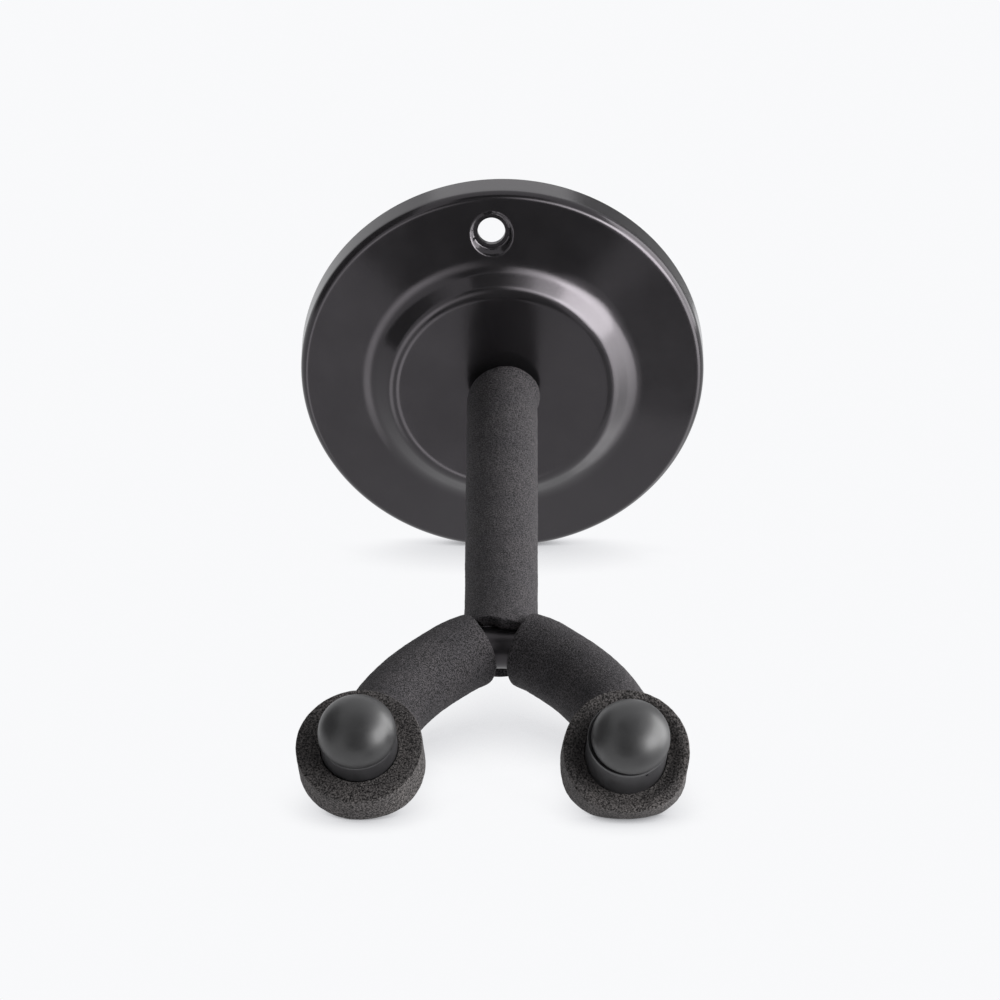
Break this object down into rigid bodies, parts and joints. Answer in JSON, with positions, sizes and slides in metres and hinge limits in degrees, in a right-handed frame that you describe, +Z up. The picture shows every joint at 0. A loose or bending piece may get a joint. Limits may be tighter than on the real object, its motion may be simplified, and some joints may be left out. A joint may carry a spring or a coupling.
{
  "type": "wall guitar hanger",
  "caption": "Wall hanger for a guitar: round pressed steel base, foam-sleeved arm and a forked yoke with foam discs and domed end caps that cradle the headstock.",
  "frame": {"origin": "centre of the round base plate, on the wall plane", "axes": "+Y into the wall, so the arm points along -Y; +Z up; +X to the right as seen by someone facing the wall"},
  "size_m": [0.1, 0.2296, 0.1],
  "materials": {
    "black_steel": "semi-gloss black powder coat",
    "black_rod": "semi-gloss black powder coat",
    "plated_steel": "bright zinc plate",
    "sleeve_foam": "fine closed-cell foam rubber, matt charcoal",
    "disc_foam": "coarser closed-cell foam rubber, matt charcoal",
    "cap_rubber": "smooth satin black moulded rubber"
  },
  "bodies": {
    "base": {"base_plate": "black_steel", "backing_disc": "plated_steel"},
    "arm": {"arm_rod": "black_rod", "yoke_weld": "black_rod", "yoke_rod": "black_rod", "arm_sleeve": "sleeve_foam", "left_prong_sleeve": "sleeve_foam", "right_prong_sleeve": "sleeve_foam", "left_foam_disc": "disc_foam", "right_foam_disc": "disc_foam", "left_end_cap": "cap_rubber", "right_end_cap": "cap_rubber", "flat_washer": "plated_steel", "lock_nut": "plated_steel"}
  },
  "joints": [
    {"name": "arm_swivel", "type": "hinge", "parent": "base", "child": "arm", "pos_m": [0, 0, 0], "axis": [0, -1, 0], "continuous": true}
  ]
}
